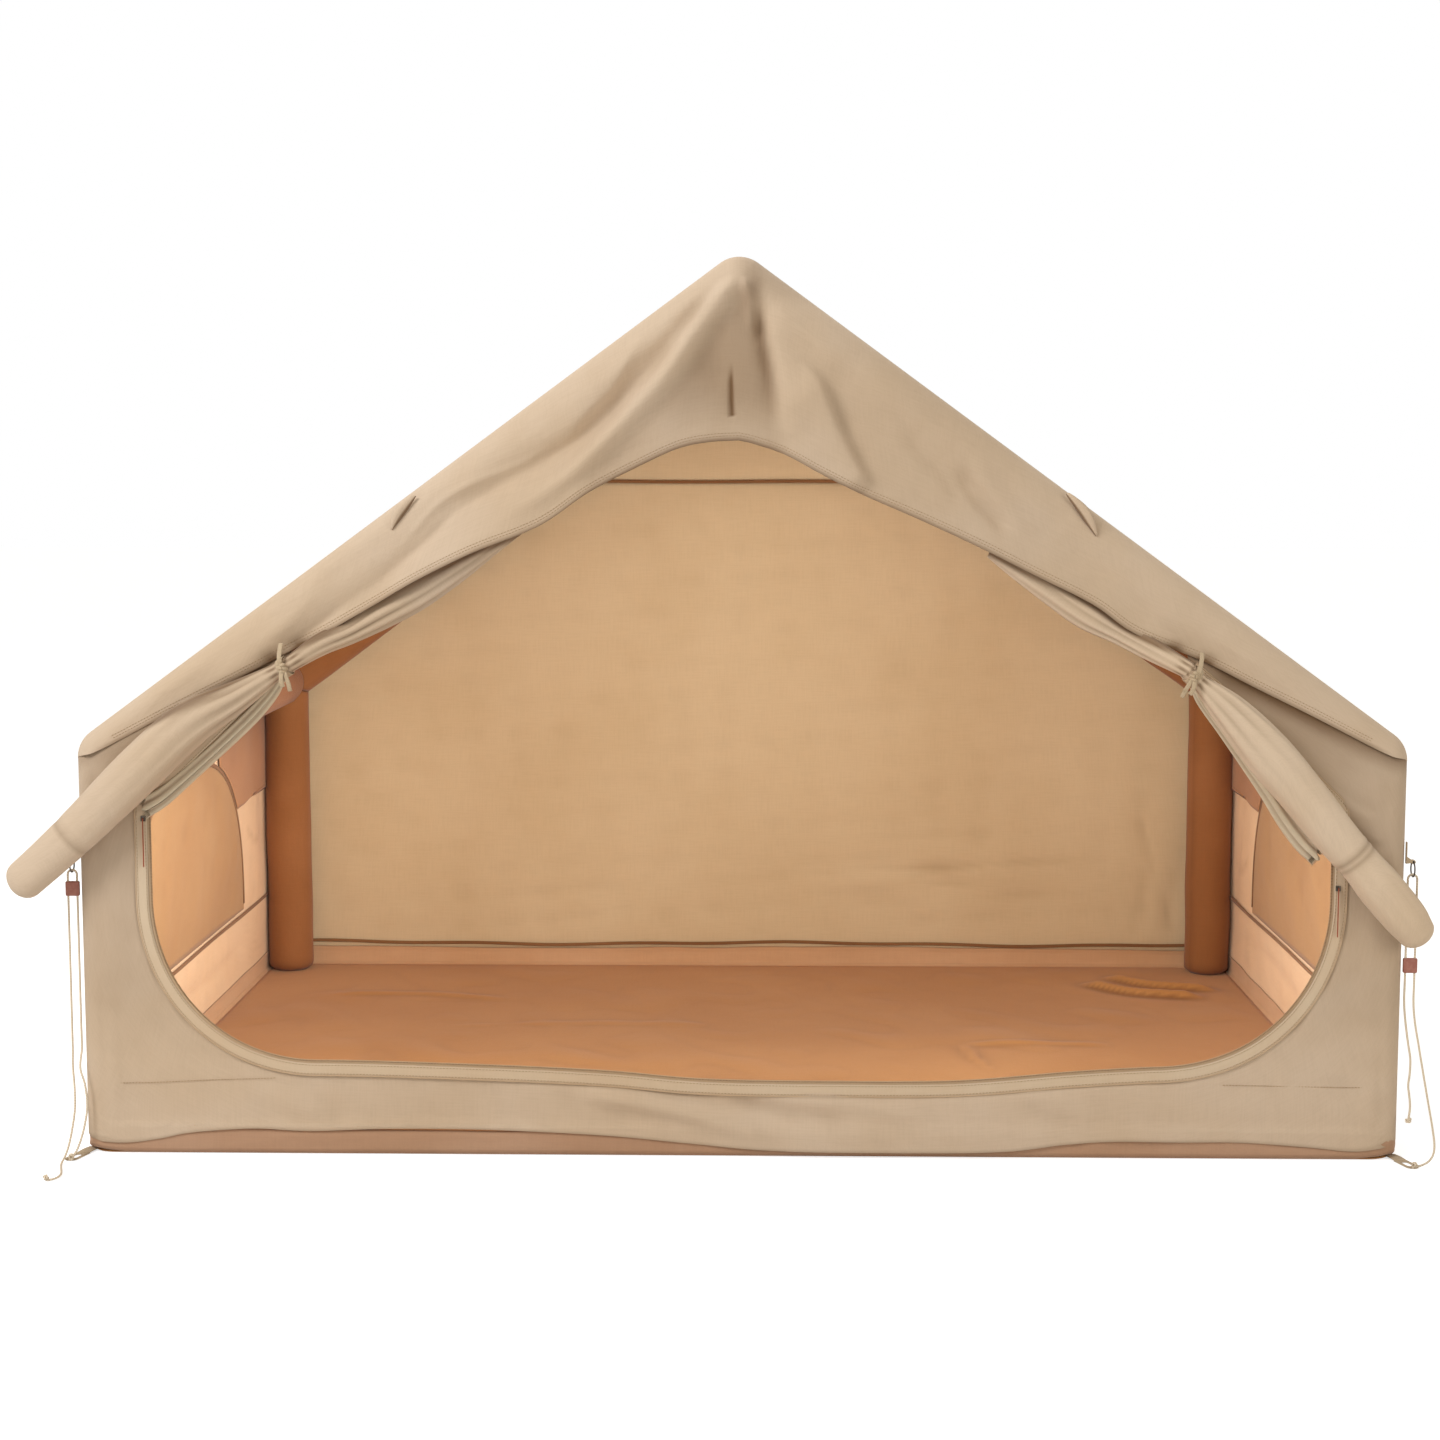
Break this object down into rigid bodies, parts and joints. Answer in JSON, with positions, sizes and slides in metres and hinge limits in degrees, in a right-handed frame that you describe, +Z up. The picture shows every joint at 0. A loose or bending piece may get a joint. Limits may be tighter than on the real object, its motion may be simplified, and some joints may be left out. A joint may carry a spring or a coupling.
{
  "type": "inflatable tent",
  "caption": "Inflatable ridge tent of canvas over air tubes, with the door leaves gathered and tied aside, window flaps, guy ropes and an inflation valve.",
  "frame": {"origin": "on the ground, under the middle of the floor", "axes": "+X to the right seen from the front and along the width, -Y out of the door, +Z up"},
  "size_m": [3.2241, 2.3862, 2.0268],
  "materials": {
    "beige_canvas": "beige cotton canvas",
    "inner_canvas": "canvas lit from behind, inner side",
    "window_cloth": "canvas, warmer and darker where doubled",
    "brown_sleeve": "brown fabric sleeve over an air tube",
    "brown_floor": "coated brown groundsheet",
    "grey_net": "fine insect net",
    "beige_webbing": "woven webbing",
    "beige_rope": "braided cord",
    "red_brown_leather": "soft strip",
    "brown_plastic": "moulded",
    "dark_steel": "dark plated",
    "bright_steel": "plated",
    "black_plastic": "moulded"
  },
  "bodies": {
    "tent": {"front_left_leg": "brown_sleeve", "front_right_leg": "brown_sleeve", "rear_left_leg": "brown_sleeve", "rear_right_leg": "brown_sleeve", "front_left_rafter": "brown_sleeve", "front_right_rafter": "brown_sleeve", "rear_left_rafter": "brown_sleeve", "rear_right_rafter": "brown_sleeve", "left_eave_beam": "brown_sleeve", "right_eave_beam": "brown_sleeve", "ridge_beam": "brown_sleeve", "groundsheet": "brown_floor", "roof_left": "beige_canvas", "roof_right": "beige_canvas", "left_wall": "beige_canvas", "right_wall": "beige_canvas", "left_window_net": "grey_net", "right_window_net": "grey_net", "front_sill": "beige_canvas", "front_left_jamb": "beige_canvas", "front_right_jamb": "beige_canvas", "front_left_gable": "beige_canvas", "front_right_gable": "beige_canvas", "left_rafter_tab": "beige_webbing", "right_rafter_tab": "beige_webbing", "rear_wall": "inner_canvas", "rear_gable": "inner_canvas", "left_door_roll": "beige_canvas", "right_door_roll": "beige_canvas", "left_net_roll": "grey_net", "right_net_roll": "grey_net", "left_tie_strap": "beige_webbing", "right_tie_strap": "beige_webbing", "left_guy_tab": "beige_webbing", "right_guy_tab": "beige_webbing", "left_guy_ring": "dark_steel", "right_guy_ring": "dark_steel", "left_guy_rope": "beige_rope", "right_guy_rope": "beige_rope", "front_left_peg_loop": "beige_webbing", "front_right_peg_loop": "beige_webbing", "rear_left_peg_loop": "beige_webbing", "rear_right_peg_loop": "beige_webbing", "valve_body": "black_plastic", "valve_spring": "bright_steel", "relief_valve": "black_plastic"},
    "left_flap": {"left_window_flap": "window_cloth"},
    "right_flap": {"right_window_flap": "window_cloth"},
    "left_window_zip": {"left_window_slider": "dark_steel"},
    "right_window_zip": {"right_window_slider": "dark_steel"},
    "left_window_zip_pull": {"left_window_pull": "dark_steel"},
    "right_window_zip_pull": {"right_window_pull": "dark_steel"},
    "left_door_zip": {"left_door_slider": "dark_steel"},
    "right_door_zip": {"right_door_slider": "dark_steel"},
    "left_door_zip_pull": {"left_door_pull": "red_brown_leather"},
    "right_door_zip_pull": {"right_door_pull": "red_brown_leather"},
    "left_tensioner": {"left_guy_tensioner": "brown_plastic"},
    "right_tensioner": {"right_guy_tensioner": "brown_plastic"},
    "plunger": {"valve_plunger": "bright_steel"},
    "cap": {"valve_cap": "black_plastic"}
  },
  "joints": [
    {"name": "left_flap_hinge", "type": "hinge", "parent": "tent", "child": "left_flap", "pos_m": [-1.4973, 0, 0.255], "axis": [0, 1, 0], "range_deg": [0, 115]},
    {"name": "right_flap_hinge", "type": "hinge", "parent": "tent", "child": "right_flap", "pos_m": [1.4973, 0, 0.255], "axis": [0, -1, 0], "range_deg": [0, 115]},
    {"name": "left_window_zip_slide", "type": "slide", "parent": "tent", "child": "left_window_zip", "axis": [0, 0, 1], "range_m": [0, 0.1]},
    {"name": "right_window_zip_slide", "type": "slide", "parent": "tent", "child": "right_window_zip", "axis": [0, 0, 1], "range_m": [0, 0.1]},
    {"name": "left_window_pull_hinge", "type": "hinge", "parent": "left_window_zip", "child": "left_window_zip_pull", "pos_m": [-1.4909, -0.6395, 0.275], "axis": [0, -1, 0], "range_deg": [0, 150]},
    {"name": "right_window_pull_hinge", "type": "hinge", "parent": "right_window_zip", "child": "right_window_zip_pull", "pos_m": [1.4909, -0.6395, 0.275], "axis": [0, 1, 0], "range_deg": [0, 150]},
    {"name": "left_door_zip_slide", "type": "slide", "parent": "tent", "child": "left_door_zip", "axis": [0, 0, 1], "range_m": [-0.18, 0]},
    {"name": "right_door_zip_slide", "type": "slide", "parent": "tent", "child": "right_door_zip", "axis": [0, 0, 1], "range_m": [-0.06, 0]},
    {"name": "left_door_pull_hinge", "type": "hinge", "parent": "left_door_zip", "child": "left_door_zip_pull", "pos_m": [-1.3445, -1.0575, 0.775], "axis": [-1, 0, 0], "range_deg": [0, 85]},
    {"name": "right_door_pull_hinge", "type": "hinge", "parent": "right_door_zip", "child": "right_door_zip_pull", "pos_m": [1.3445, -1.0575, 0.625], "axis": [-1, 0, 0], "range_deg": [0, 85]},
    {"name": "left_tensioner_slide", "type": "slide", "parent": "tent", "child": "left_tensioner", "axis": [0, 0, 1], "range_m": [-0.29, 0.01]},
    {"name": "right_tensioner_slide", "type": "slide", "parent": "tent", "child": "right_tensioner", "axis": [0, 0, 1], "range_m": [-0.06, 0.17]},
    {"name": "plunger_slide", "type": "slide", "parent": "tent", "child": "plunger", "axis": [0, 1, 0], "range_m": [-0.0035, 0], "stiffness_N_per_m": 150, "springref_m": 0.002, "deforming": ["valve_spring"]},
    {"name": "cap_slide", "type": "slide", "parent": "tent", "child": "cap", "axis": [0, 1, 0], "range_m": [0, 0.03]}
  ]
}
